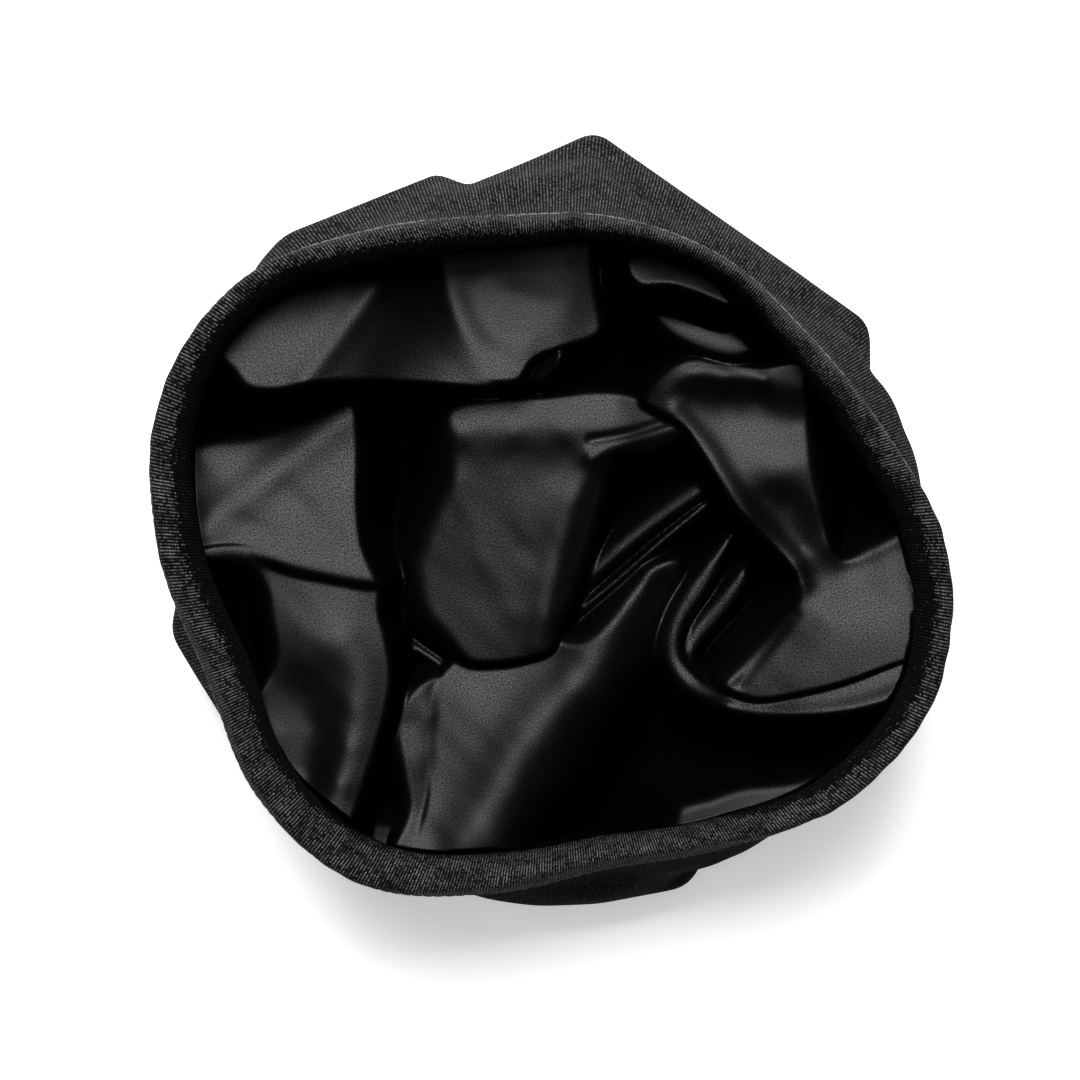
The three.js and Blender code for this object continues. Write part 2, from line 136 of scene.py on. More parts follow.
# The view straight down into the mouth, in which places on the lining are read.
view = {
    "step": 0.12461,  # millimetres at the height of the rim
    "left": -96.72,  # where the steps across start
    "far": 103.68,  # where the steps down start
    "rim": 78,
    "eyeX": -3.12,
    "eyeY": 2.88,
    "eyeUp": 942,
}

# The lining: satin lobes that overlap, each a smooth sheet inside its outline that falls away outside it.
lining = {
    "cells": 300,
    "crease": 0.4,  # how softly two lobes meet
    "ripples": [6, 7.5, 9, 11, 13, 16],  # their lengths
    "rippleHeight": 0.008,
    "border": [(0.3, -4), (0.8, -2.4), (1.5, -1.4), (2.2, -1.1)],  # out from the seam, up from the hem's foot
    "span": 104,  # half the side of the height map
    "mapLines": 340,
    "drawRounds": 60,  # of drawing the grid together where it is steep
    "mostPull": 6,
    "drawShare": 0.5,  # of the way, in a round
    "reach": 26,  # how far from its outline a lobe is worked out
    "firm": 0.01,  # how softly the plate that gives an outline its heights is held
    "heightSpread": 12,  # an outline's heights stay this near to the middle of its lobe
    "seamDrop": 0.5,  # below the hem's foot at the seam
    "seamRise": 4,  # steepest climb away from the seam
    # places are steps across and down in the view; an outline row adds the half width of its rolled edge,
    # steep is the fall outside it and shine how far over the roll the satin keeps its gloss, past which shade
    # is painted on it by taking the gloss away; a point adds its height, and soft is how softly the sheet is
    # held to it; a ridge is a rise, a half width and a line of places
    "lobes": {
        "farLeft": {
            "steep": 7, "soft": 5, "shine": -0.5,
            "outline": [(90, 400, 0.8), (110, 320, 0.8), (300, 230, 0.8), (560, 190, 0.8), (720, 200, 0.8),
                        (690, 350, 0.8), (700, 430, 0.8), (720, 495, 0.8), (690, 513, 0.8),
                        (640, 517, 0.8), (540, 510, 0.8), (440, 505, 0.8), (330, 508, 0.8),
                        (285, 516, 0.8), (230, 524, 0.8), (180, 518, 1.5), (150, 485, 2), (120, 455, 2)],
            "points": [(290, 505, 73.2), (200, 500, 72.6), (160, 460, 71.4), (250, 440, 71.2),
                       (200, 380, 69.4), (130, 400, 69.6), (300, 340, 68.2), (430, 320, 67.8),
                       (380, 290, 66.8), (370, 400, 70.2), (320, 460, 71.8), (597, 370, 58.8),
                       (607, 274, 56), (648, 482, 62.2), (520, 330, 62.4), (500, 430, 65.4),
                       (470, 500, 67.2), (560, 500, 64.6), (700, 370, 53), (700, 280, 50), (720, 490, 59)],
            "ridges": [(0.5, 3, [(460, 290), (380, 400), (300, 500)])],
        },
        "farRight": {
            "steep": 7, "soft": 5, "shine": 0.5,
            "outline": [(520, 200, 0.5), (520, 300, 0.5), (520, 400, 0.5), (560, 470, 0.6),
                        (640, 505, 0.8), (705, 507, 1), (722, 490, 1), (742, 462, 1), (790, 442, 1),
                        (860, 425, 2), (888, 395, 4), (890, 320, 6), (888, 240, 6), (880, 180, 1)],
            "points": [(640, 274, 59.6), (700, 260, 60.6), (800, 250, 61), (870, 250, 60),
                       (600, 350, 59.4), (700, 350, 60.6), (800, 350, 60.6), (870, 350, 59.4),
                       (660, 482, 62.8), (620, 430, 60.8), (720, 440, 62), (790, 430, 61.4),
                       (850, 400, 59.8)],
            "ridges": [(0.4, 4, [(620, 330), (650, 400), (720, 430)]),
                       (-0.3, 4, [(690, 330), (760, 350)])],
        },
        "leaf": {
            "steep": 3, "soft": 20, "shine": 1,
            "outline": [(726, 500, 0.8), (740, 476, 0.8), (765, 455, 0.8), (792, 446, 0.8),
                        (786, 470, 0.8), (768, 490, 0.8), (748, 503, 0.8)],
            "points": [(735, 495, 57), (785, 455, 61), (760, 470, 58.5), (770, 485, 60)],
            "ridges": [],
        },
        "leftUpper": {
            "steep": 2.4, "soft": 10, "shine": -0.5,
            "outline": [(20, 640, 5), (60, 620, 5), (100, 605, 5), (200, 590, 5), (300, 562, 4),
                        (380, 535, 2.5), (400, 560, 1.5), (404, 640, 1.5), (403, 740, 1.5),
                        (412, 820, 1.5), (440, 900, 3), (300, 880, 3), (200, 852, 3), (100, 845, 3),
                        (20, 830, 3)],
            "points": [(400, 850, 59.2), (300, 830, 58.9), (200, 800, 58.4), (120, 805, 58.6),
                       (400, 720, 56.6), (250, 710, 56), (111, 776, 57.8), (395, 605, 54),
                       (225, 629, 53.4), (100, 700, 55.6), (200, 598, 52), (300, 575, 52.8),
                       (370, 552, 52.8), (60, 700, 55.4), (100, 640, 54.9), (40, 680, 55)],
            "ridges": [(0.9, 5, [(390, 560), (250, 668), (105, 785)]),
                       (-0.3, 4, [(260, 715), (290, 745)]),
                       (-0.25, 3, [(150, 770), (220, 790)])],
        },
        "leftLower": {
            "steep": 3, "soft": 6, "shine": 0.6,
            "outline": [(70, 840, 0.8), (105, 824, 0.8), (150, 818, 0.8), (200, 822, 0.5), (260, 834, 0.4),
                        (320, 844, 0.4), (380, 856, 0.4), (425, 870, 0.4), (442, 905, 0.8),
                        (443, 950, 0.8), (456, 1000, 0.8), (465, 1060, 0.8), (461, 1115, 0.8),
                        (445, 1180, 0.8), (420, 1260, 0.8), (395, 1335, 0.8), (370, 1400, 0.8),
                        (250, 1420, 0.8), (150, 1250, 0.8), (200, 1120, 0.8), (236, 1040, 2),
                        (222, 960, 3), (212, 900, 3), (185, 862, 2), (135, 852, 1.5)],
            "points": [(110, 835, 59.6), (240, 870, 58), (420, 890, 58.6), (250, 950, 58.8),
                       (420, 960, 59.4), (320, 940, 59.4), (330, 1000, 60.6), (240, 1020, 59),
                       (400, 1060, 60.8), (290, 1040, 60.1), (250, 1108, 58.6), (300, 1105, 58.9),
                       (395, 1130, 61.6), (315, 1165, 59.1), (255, 1185, 59.3), (382, 1210, 62.8),
                       (310, 1260, 60.2), (270, 1240, 59.6), (362, 1280, 64), (338, 1350, 65),
                       (455, 1060, 60.2), (446, 1160, 61.4), (420, 1230, 62.6), (394, 1310, 63.8)],
            "ridges": [(0.8, 3, [(110, 838), (160, 832), (200, 842)]),
                       (0.6, 5.5, [(376, 1012), (402, 1062), (395, 1130), (380, 1210), (360, 1280),
                                   (338, 1350)])],
        },
        "dome": {
            "steep": 2.6, "soft": 3, "shine": 0,
            "outline": [(558, 640, 6), (548, 700, 7), (505, 790, 8), (482, 870, 8), (505, 960, 7),
                        (560, 1010, 5), (610, 1042, 1.5), (650, 1046, 0.8), (700, 1042, 0.8),
                        (745, 1032, 0.8), (775, 1020, 1), (790, 985, 2), (820, 910, 2), (852, 815, 2),
                        (878, 720, 2), (895, 655, 2), (920, 645, 1.5), (970, 640, 1.5), (1010, 620, 1.5),
                        (1030, 600, 0.6), (1000, 580, 0.8), (970, 555, 0.8), (930, 528, 1.5),
                        (860, 518, 2), (760, 530, 1.5), (640, 536, 1.5), (580, 545, 3), (556, 580, 4)],
            "points": [(600, 700, 52.8), (740, 700, 53.2), (640, 850, 53), (720, 820, 53.2),
                       (550, 880, 52), (680, 1000, 53.4), (600, 960, 52.8), (740, 1000, 53.8),
                       (690, 920, 53.2), (700, 665, 53.1), (600, 665, 52.8), (790, 665, 53.4),
                       (600, 550, 52.2), (600, 608, 53.6), (700, 545, 52.7), (700, 606, 54.2),
                       (800, 540, 53.1), (800, 602, 54.7), (900, 545, 53.9), (900, 594, 55.2),
                       (600, 640, 52.9), (700, 638, 53.4), (800, 634, 53.9), (1000, 590, 57.8),
                       (940, 545, 55.2), (950, 598, 56.6), (860, 660, 54), (825, 730, 53.9),
                       (807, 800, 53.9), (788, 880, 54), (772, 960, 54.2), (890, 680, 52.4),
                       (862, 790, 52.2), (830, 880, 52.4), (798, 970, 53)],
            "ridges": [(0.2, 3, [(590, 700), (640, 830), (700, 950)]),
                       (0.15, 3, [(690, 690), (720, 800)]),
                       (0.5, 3.5, [(855, 660), (812, 735), (792, 805), (774, 880), (762, 950),
                                   (750, 1010)]),
                       (0.6, 2, [(850, 652), (900, 630), (960, 612), (1010, 592)]),
                       (-0.6, 1.2, [(850, 616), (920, 604), (995, 581)])],
        },
        "wall": {
            "steep": 3, "soft": 4, "shine": 0.7,
            "outline": [(1260, 470, 1), (1180, 474, 1), (1100, 466, 1), (1050, 458, 1), (1010, 470, 1),
                        (975, 500, 1), (952, 540, 1), (968, 556, 1), (1000, 575, 1), (1030, 595, 1),
                        (1060, 640, 1), (1090, 690, 1), (1130, 750, 1), (1180, 802, 1), (1230, 858, 1),
                        (1247, 890, 1), (1238, 928, 3), (1184, 985, 6), (1130, 1035, 6), (1100, 1088, 2),
                        (1150, 1113, 1), (1200, 1115, 1), (1330, 1087, 1), (1460, 1042, 1),
                        (1520, 1040, 1), (1520, 780, 1), (1400, 808, 4), (1335, 842, 2), (1308, 790, 2),
                        (1294, 700, 3.5), (1284, 620, 3.5), (1276, 540, 3.5)],
            "points": [(1050, 466, 61), (1110, 474, 61.2), (1180, 482, 61.6), (985, 505, 59.8),
                       (962, 540, 58.6), (1050, 492, 61.6), (1110, 498, 61.8), (1180, 503, 62.2),
                       (1000, 525, 60), (1240, 515, 62.5), (1050, 535, 59.8), (1110, 535, 59.8),
                       (1170, 540, 60), (1020, 580, 59.4), (1080, 600, 59.8), (1090, 660, 61.2),
                       (1150, 760, 61.9), (1240, 860, 60.6), (1160, 600, 60.2), (1150, 660, 61.6),
                       (1250, 580, 60.6), (1240, 670, 62.8), (1200, 690, 62.4), (1180, 730, 61),
                       (1230, 740, 60.8), (1215, 800, 60), (1255, 820, 59.8), (1290, 640, 62.4),
                       (1290, 740, 62.6), (1305, 820, 61.4), (1270, 880, 60.2), (1300, 960, 63),
                       (1450, 930, 63.2), (1380, 1040, 65), (1380, 900, 61.6), (1420, 830, 59.4),
                       (1450, 880, 61.2), (1150, 1090, 60.8), (1250, 1080, 63.6), (1440, 1035, 65.4),
                       (1220, 985, 61), (1340, 866, 60)],
            "ridges": [(1.2, 3.4, [(1006, 566), (1064, 632), (1098, 686), (1140, 748), (1188, 798),
                                   (1236, 850), (1250, 890)]),
                       (0.5, 2.5, [(968, 548), (990, 520), (1020, 498), (1055, 486), (1105, 492),
                                   (1180, 498)]),
                       (-0.5, 1.6, [(1135, 1085), (1180, 1030), (1240, 955)])],
        },
        "swoosh": {
            "steep": 3, "soft": 5, "shine": 1,
            "outline": [(1124, 794, 1), (1054, 866, 1.4), (1002, 938, 1.5), (980, 1000, 1.5),
                        (990, 1055, 1.5), (1030, 1104, 1.5), (1105, 1138, 1.5), (1200, 1152, 1.8),
                        (1320, 1148, 2), (1420, 1126, 2), (1500, 1085, 2), (1500, 1030, 1),
                        (1440, 1050, 0.8), (1330, 1088, 0.8), (1200, 1112, 0.8), (1120, 1108, 0.8),
                        (1062, 1078, 1.2), (1024, 1030, 1.2), (1032, 970, 1.2), (1080, 892, 1)],
            "points": [(1122, 800, 50), (1060, 875, 50), (1000, 1000, 50.5), (1040, 1088, 52.5),
                       (1200, 1130, 60.4), (1330, 1112, 64), (1460, 1060, 65.2), (1110, 1120, 57),
                       (1250, 1120, 62.2)],
            "ridges": [(0.7, 1.8, [(1110, 812), (1066, 872), (1018, 950), (1001, 1005), (1008, 1052),
                                   (1045, 1094), (1110, 1126)]),
                       (1.2, 3.2, [(1110, 1136), (1200, 1150), (1320, 1144), (1420, 1118), (1480, 1090)])],
        },
        "innerWelt": {
            "steep": 2.6, "soft": 5, "shine": 1,
            "outline": [(1144, 858, 0.9), (1095, 908, 1.1), (1045, 966, 1.1), (1022, 1008, 1.1),
                        (1018, 1045, 1.1), (1036, 1080, 1.1), (1076, 1094, 1.1), (1104, 1072, 1),
                        (1092, 1060, 1), (1070, 1066, 1), (1054, 1055, 1), (1048, 1034, 1),
                        (1064, 1002, 1), (1116, 940, 1), (1148, 888, 0.9)],
            "points": [(1140, 870, 48), (1080, 960, 48), (1040, 1040, 49), (1070, 1078, 51),
                       (1095, 1068, 51.5)],
            "ridges": [(0.7, 1.6, [(1138, 876), (1100, 926), (1054, 980), (1034, 1020), (1040, 1060),
                                   (1072, 1080), (1096, 1066)])],
        },
        "diagonalUpper": {
            "steep": 2.6, "soft": 5, "shine": 1,
            "outline": [(796, 935, 1.2), (802, 906, 1.5), (880, 822, 1.8), (960, 756, 1.8),
                        (1040, 702, 1.6), (1092, 684, 1.2), (1084, 710, 1.2), (1034, 746, 1.2),
                        (954, 808, 1.2), (874, 874, 1.2), (820, 926, 1.2)],
            "points": [(815, 925, 46), (880, 848, 47.4), (960, 782, 48.6), (1070, 700, 51)],
            "ridges": [(0.9, 2, [(812, 920), (880, 852), (958, 786), (1040, 730), (1085, 700)])],
        },
        "diagonalLower": {
            "steep": 2.6, "soft": 5, "shine": 1,
            "outline": [(806, 990, 1), (816, 956, 1.3), (900, 884, 1.3), (980, 814, 1.3), (1060, 748, 1.3),
                        (1096, 724, 1), (1092, 750, 1), (1044, 794, 1), (964, 862, 1), (884, 928, 1),
                        (828, 980, 1)],
            "points": [(820, 970, 44), (900, 900, 45.8), (980, 832, 47), (1080, 740, 49.6)],
            "ridges": [(0.7, 1.6, [(822, 968), (892, 908), (970, 842), (1060, 764)])],
        },
        "low": {
            "steep": 2.2, "soft": 6, "shine": 0.8,
            "outline": [(1018, 848, 1), (965, 862, 2), (930, 898, 4), (880, 956, 4), (830, 998, 3),
                        (770, 1000, 1.5), (700, 1000, 1), (640, 1010, 1), (590, 1040, 1), (560, 1070, 1),
                        (540, 1120, 1), (535, 1200, 1), (535, 1300, 1), (520, 1440, 1), (680, 1440, 4),
                        (735, 1360, 6), (815, 1260, 6), (900, 1120, 6), (965, 1030, 5), (995, 950, 3),
                        (1016, 890, 1.5)],
            "points": [(570, 1200, 52.2), (650, 1200, 53.4), (750, 1200, 54.8), (800, 1200, 53.8),
                       (835, 1200, 51.6), (600, 1100, 50.8), (700, 1100, 51.5), (810, 1100, 53.6),
                       (870, 1100, 53), (570, 1300, 54.2), (620, 1300, 55), (705, 1300, 56.2),
                       (755, 1300, 54.4), (560, 1390, 56.4), (600, 1390, 57.2), (670, 1390, 57.6),
                       (715, 1390, 55.6), (620, 1050, 49.4), (700, 1050, 50), (780, 1050, 51.4),
                       (865, 1050, 53), (920, 1050, 51.4), (890, 970, 52.4), (945, 980, 50.4),
                       (950, 900, 50.8), (995, 900, 48.8), (1000, 864, 50)],
            "ridges": [(1.1, 7, [(905, 985), (865, 1030), (828, 1072), (783, 1120), (735, 1180),
                                 (688, 1250), (638, 1328), (598, 1405)])],
        },
        "lowLeft": {
            "steep": 2.6, "soft": 10, "shine": 0.5,
            "outline": [(600, 1060, 1.2), (560, 1066, 1.5), (530, 1076, 2), (498, 1103, 2),
                        (476, 1140, 2.5), (468, 1190, 3), (480, 1260, 3), (490, 1330, 3), (470, 1400, 1.2),
                        (480, 1440, 1.2), (600, 1440, 1.2), (620, 1380, 1.2), (625, 1200, 1.2),
                        (615, 1100, 1.2)],
            "points": [(540, 1085, 50.6), (500, 1160, 52), (540, 1150, 52.2), (500, 1210, 53),
                       (535, 1220, 53), (515, 1280, 53.6), (510, 1340, 54.6), (500, 1390, 56.4),
                       (560, 1390, 56), (572, 1220, 51), (562, 1290, 52.6), (600, 1200, 47.5),
                       (590, 1300, 50)],
            "ridges": [],
        },
        "farLobe": {
            "steep": 2.4, "soft": 5, "shine": 0,
            "outline": [(920, 290, 1.2), (926, 262, 1), (960, 256, 1), (1010, 268, 1), (1060, 290, 1),
                        (1105, 330, 1), (1118, 356, 1), (1090, 350, 1.5), (1050, 334, 1.5),
                        (1000, 320, 1.5), (945, 320, 1.5)],
            "points": [(935, 275, 72.4), (940, 310, 73.4), (1000, 275, 72.2), (1000, 312, 73.6),
                       (1050, 300, 73), (1050, 326, 73.8), (1100, 345, 74)],
            "ridges": [],
        },
        "farLobeLow": {
            "steep": 1.4, "soft": 5, "shine": -1.1,
            "outline": [(962, 368, 2), (1010, 374, 2), (1080, 388, 2), (1140, 412, 2), (1162, 446, 2),
                        (1120, 460, 2), (1060, 446, 2), (1000, 416, 2)],
            "points": [(985, 385, 60), (1060, 405, 61), (1140, 435, 62.4), (1050, 430, 61.3),
                       (1110, 420, 61.5)],
            "ridges": [],
        },
        "nearWall": {
            "steep": 1.6, "soft": 5, "shine": -0.3,
            "outline": [(1000, 1400, 3), (1008, 1346, 3), (1024, 1320, 3), (1080, 1304, 3),
                        (1140, 1284, 3), (1230, 1274, 3), (1300, 1250, 3), (1340, 1208, 3),
                        (1400, 1174, 3), (1430, 1250, 2), (1300, 1420, 2), (1050, 1450, 2)],
            "points": [(1050, 1325, 50), (1050, 1390, 50.6), (1150, 1295, 49.4), (1150, 1375, 50.8),
                       (1250, 1285, 50), (1250, 1345, 51), (1300, 1260, 50), (1330, 1320, 53),
                       (1345, 1225, 51)],
            "ridges": [],
        },
        "nearLeft": {
            "steep": 2, "soft": 20, "shine": -1,
            "outline": [(365, 1390, 3), (400, 1345, 4), (500, 1352, 4), (560, 1375, 3), (580, 1440, 2),
                        (400, 1470, 2)],
            "points": [(420, 1360, 52), (420, 1410, 52.6), (520, 1370, 52), (520, 1410, 52.6)],
            "ridges": [],
        },
        "gapWelt": {
            "steep": 2.6, "soft": 20, "shine": 1,
            "outline": [(430, 950, 0.9), (446, 962, 0.9), (500, 1000, 0.9), (560, 1040, 0.9),
                        (590, 1062, 0.9), (570, 1062, 0.9), (520, 1030, 0.9), (470, 995, 0.9)],
            "points": [(440, 960, 44), (500, 1008, 45), (570, 1052, 47), (500, 1020, 45.5)],
            "ridges": [],
        },
        "gapWeltLow": {
            "steep": 2.6, "soft": 20, "shine": 1,
            "outline": [(460, 1022, 0.8), (480, 1036, 0.8), (520, 1068, 0.8), (545, 1090, 0.8),
                        (525, 1088, 0.8), (490, 1062, 0.8)],
            "points": [(470, 1032, 43), (520, 1075, 46), (500, 1062, 45)],
            "ridges": [],
        },
        # a deep floor under all the lobes, with shade painted all over it (its shine lies far below its roll)
        "base": {
            "steep": 2.6, "soft": 20, "shine": -400,
            "outline": [(-100, -100, 1), (700, -200, 1), (1700, -100, 1), (1700, 800, 1), (1700, 1700, 1),
                        (700, 1800, 1), (-100, 1700, 1), (-200, 800, 1)],
            "points": [(470, 560, 20), (460, 800, 12), (470, 1000, 14), (900, 450, 44), (1050, 350, 52),
                       (1380, 700, 44), (1180, 850, 24), (1000, 1150, 30), (1000, 1350, 12),
                       (1250, 1230, 24), (150, 900, 46), (230, 560, 42), (850, 800, 30), (760, 1380, 34),
                       (420, 1280, 24), (1250, 1350, 36), (100, 560, 48), (1440, 780, 50),
                       (1200, 380, 60)],
            "ridges": [],
        },
    },
}


# A closed smooth curve through rows of numbers.
def closedCurve(rows, perRow):
    rows = np.array(rows, float)
    at = np.linspace(0, len(rows), len(rows) * perRow + 1)
    first = at.astype(int)
    a, b, c, d = (rows[(first + k) % len(rows)] for k in (-1, 0, 1, 2))
    return cubic(a, b, c, d, (at - first)[:, None])


# Distance from an outline, minus inside it, with the nearest point of it and the roll there.
def besideOutline(samples, x, y):
    best = np.full(x.shape, np.inf)
    nearX, nearY, roll = np.zeros(x.shape), np.zeros(x.shape), np.zeros(x.shape)
    inside = np.zeros(x.shape, bool)
    for (ax, ay, ar), (bx, by, br) in zip(samples[:-1], samples[1:]):
        ux, uy = bx - ax, by - ay
        share = np.clip(((x - ax) * ux + (y - ay) * uy) / max(ux * ux + uy * uy, 1e-9), 0, 1)
        gap = np.hypot(x - ax - share * ux, y - ay - share * uy)
        hit = gap < best
        best = np.where(hit, gap, best)
        nearX = np.where(hit, ax + share * ux, nearX)
        nearY = np.where(hit, ay + share * uy, nearY)
        roll = np.where(hit, ar + share * (br - ar), roll)
        if ay != by:
            inside ^= ((ay > y) != (by > y)) & (x < ax + (y - ay) * ux / uy)
    return np.where(inside, -best, best), nearX, nearY, roll


# Distance from an open line.
def besideLine(samples, x, y):
    best = np.full(x.shape, np.inf)
    for (ax, ay), (bx, by) in zip(samples[:-1], samples[1:]):
        ux, uy = bx - ax, by - ay
        share = np.clip(((x - ax) * ux + (y - ay) * uy) / (ux * ux + uy * uy), 0, 1)
        best = np.minimum(best, np.hypot(x - ax - share * ux, y - ay - share * uy))
    return best


# A thin plate bent through points to their heights, held more or less softly.
def thinPlate(rows, softness):
    rows = np.array(rows, float)
    points = rows[:, :2]

    def kernel(a, b):
        square = ((a[:, None, :] - b[None, :, :]) ** 2).sum(-1)
        return 0.5 * square * np.log(square + 1e-6)

    flat = np.c_[np.ones(len(points)), points]
    bent = kernel(points, points) + softness * np.eye(len(points))
    system = np.block([[bent, flat], [flat.T, np.zeros((3, 3))]])
    weights = np.linalg.solve(system, np.r_[rows[:, 2], np.zeros(3)])

    def heightAt(x, y):
        at = np.c_[x, y]
        return kernel(at, points) @ weights[:-3] + np.c_[np.ones(len(at)), at] @ weights[-3:]

    return heightAt


# Rows read off the view, in millimetres on the cloth at the given heights.
def onCloth(rows, height):
    rows = np.array(rows, float)
    x, y = view["left"] + view["step"] * rows[:, 0], view["far"] - view["step"] * rows[:, 1]
    nearness = (view["eyeUp"] - height) / (view["eyeUp"] - view["rim"])
    rows[:, 0] = view["eyeX"] + (x - view["eyeX"]) * nearness
    rows[:, 1] = view["eyeY"] + (y - view["eyeY"]) * nearness
    return rows


# Height of one lobe and the shade painted on it at its edge, or far below it away from the lobe.
def lobeHeight(lobe, x, y):
    points = np.array(lobe["points"], float)
    middle, spread = points[:, 2].mean(), lining["heightSpread"]
    heightSeen = thinPlate(points, lining["firm"])

    def placed(rows):
        rows = np.array(rows, float)
        return onCloth(rows, np.clip(heightSeen(rows[:, 0], rows[:, 1]), middle - spread, middle + spread))

    samples = closedCurve(placed(lobe["outline"]), 5)
    low, high = samples[:, :2].min(0) - lining["reach"], samples[:, :2].max(0) + lining["reach"]
    near = (x > low[0]) & (x < high[0]) & (y > low[1]) & (y < high[1])
    beside, nearX, nearY, roll = besideOutline(samples, x[near], y[near])
    out = beside > 0
    overX, overY = np.where(out, nearX, x[near]), np.where(out, nearY, y[near])
    top = thinPlate(onCloth(points, points[:, 2]), lobe["soft"])(overX, overY)
    for rise, width, line in lobe["ridges"]:
        top = top + rise * bell(besideLine(curve(placed(line), 4), overX, overY), width)
    turned = np.clip((beside + roll) / (2 * roll), 0, 1)
    past = 2 * roll * (turned**3 - turned**4 / 2) + np.maximum(beside - roll, 0)
    height, paintedSatinShade = np.full(x.shape, -200.0), np.zeros(x.shape)
    height[near] = top - lobe["steep"] * past
    # painted shade: the satin loses its gloss past the part of the rolled edge that shine keeps lit
    paintedSatinShade[near] = ramp((beside - lobe["shine"] * roll) / (2 * roll) + 0.5)
    return height, paintedSatinShade


# Height of the satin: the highest lobe, with a small fillet where two meet, and the shade painted on that
# lobe.
def satinHeight(x, y):
    layers = np.array([lobeHeight(lobe, x, y) for lobe in lining["lobes"].values()])
    heights, paintedSatinShade = layers[:, 0], layers[:, 1]
    top = heights.max(0)
    paintedSatinShade = np.take_along_axis(paintedSatinShade, heights.argmax(0)[None], 0)[0]
    return top + lining["crease"] * np.log(np.exp((heights - top) / lining["crease"]).sum(0)), paintedSatinShade


def seamRadius(angle):
    return mouthAt("inner", angle) + mouthAt("tuck", angle)


# A square grid in the mouth's outline, its lines drawn together where the satin is steep.
def evenGrid(cells, heightAt):
    line = np.linspace(-1, 1, cells + 1)
    u, v = np.meshgrid(line, line)
    across, up = u * np.sqrt(1 - v * v / 2), v * np.sqrt(1 - u * u / 2)
    angle = np.arctan2(up, across)
    radius = np.hypot(across, up) * seamRadius(angle)
    x, y = radius * np.cos(angle), radius * np.sin(angle)
    for _ in range(lining["drawRounds"]):
        point = np.stack([x, y, heightAt(x, y)], -1)
        moved, total = np.zeros(x.shape + (2,)), np.zeros(x.shape)
        for axis in (0, 1):
            step = np.diff(point, axis=axis)
            plan = np.linalg.norm(step[..., :2], axis=-1)
            pull = np.minimum(np.linalg.norm(step, axis=-1) / np.maximum(plan, 1e-6), lining["mostPull"])
            low = (slice(None, -1), slice(None)) if axis == 0 else (slice(None), slice(None, -1))
            high = (slice(1, None), slice(None)) if axis == 0 else (slice(None), slice(1, None))
            moved[low] += pull[..., None] * point[high][..., :2]
            moved[high] += pull[..., None] * point[low][..., :2]
            total[low] += pull
            total[high] += pull
        inside = (slice(1, -1), slice(1, -1))
        x[inside] += lining["drawShare"] * (moved[..., 0] / total - x)[inside]
        y[inside] += lining["drawShare"] * (moved[..., 1] / total - y)[inside]
    return x, y


# Heights read from a square map by straight steps.
def fromMap(heights, span, x, y):
    cell = 2 * span / (len(heights) - 1)
    across = np.clip((x + span) / cell, 0, len(heights) - 1.001)
    up = np.clip((y + span) / cell, 0, len(heights) - 1.001)
    i, j = across.astype(int), up.astype(int)
    s, t = across - i, up - j
    low = heights[j, i] * (1 - s) + heights[j, i + 1] * s
    return low * (1 - t) + (heights[j + 1, i] * (1 - s) + heights[j + 1, i + 1] * s) * t


# Faint ripples that run every way through the satin.
def ripples(x, y):
    total = 0
    for length in lining["ripples"]:
        turn, phase = draw.uniform(0, 2 * math.pi, 2)
        total = total + np.sin(2 * math.pi * (x * math.cos(turn) + y * math.sin(turn)) / length + phase)
    return lining["rippleHeight"] * total


def makeLining():
    span = lining["span"]
    line = np.linspace(-span, span, lining["mapLines"])
    mapX, mapY = np.meshgrid(line, line)
    wholeMap = satinHeight(mapX, mapY)[0]
    rings = lining["border"]
    x, y = evenGrid(lining["cells"] - 2 * len(rings), lambda a, b: fromMap(wholeMap, span, a, b))
    angle = np.arctan2(y, x)
    inward = seamRadius(angle) - np.hypot(x, y)
    foot = mouthAt("crest", angle) - hem["depth"]
    z, paintedSatinShade = satinHeight(x, y)
    highest = foot - lining["seamDrop"] + lining["seamRise"] * inward
    z = np.minimum(z + ripples(x, y), highest)
    width = len(rings)
    points = np.pad(np.stack([x, y, z], -1), ((width, width), (width, width), (0, 0)), mode="edge")
    row, column = np.indices(points.shape[:2])
    inside = np.minimum(np.minimum(row, column), np.minimum(row[::-1], column[:, ::-1]))
    # the border turns up along the hem and behind it
    for ring, (out, up) in enumerate(rings):
        edge = inside == width - 1 - ring
        turn = np.arctan2(points[edge][:, 1], points[edge][:, 0])
        radius = seamRadius(turn) + out
        height = np.maximum(mouthAt("crest", turn) - hem["depth"] + up, points[edge][:, 2])
        points[edge] = np.stack([radius * np.cos(turn), radius * np.sin(turn), height], -1)
    return clothPiece("lining_satin", points, np.pad(paintedSatinShade, width, mode="edge"))


# The hem: a folded band of jersey round the mouth.
hem = {
    "depth": 13,
    "cloth": 1.4,
    "columns": 640,
    "rows": 44,
    # the section from its turned inner foot over the crest to its outer foot: share of the way across, share
    # of the flare, up from the crest
    "section": [(0.2, 0, -12.9), (0.1, 0, -13), (0, 0, -12.2), (0.02, 0, -9), (0.1, 0, -6), (0.27, 0, -3.2),
                (0.5, 0, -1.1), (0.72, 0, -0.1), (0.9, 0, -0.6), (0.99, 0, -2.6), (1, 0.9, -8), (1, 1, -11.6),
                (0.93, 1, -12.9), (0.78, 1, -13.2)],
    # the painted shade fades over this share of the width
    "shadeFade": 0.35,  # share of the width over which the dark fades
    # puckers: waves in a turn and their size, outwards and upwards
    "puckersOut": [((9, 14, 23, 31), 0.5), ((47, 61, 83), 0.25)],
    "puckersUp": [((8, 13, 19, 29), 0.5), ((41, 67), 0.2)],
    "knit": {"wales": 745, "courses": 54, "blotch": 3.2, "light": (0.18, 0.18, 0.182)},
}


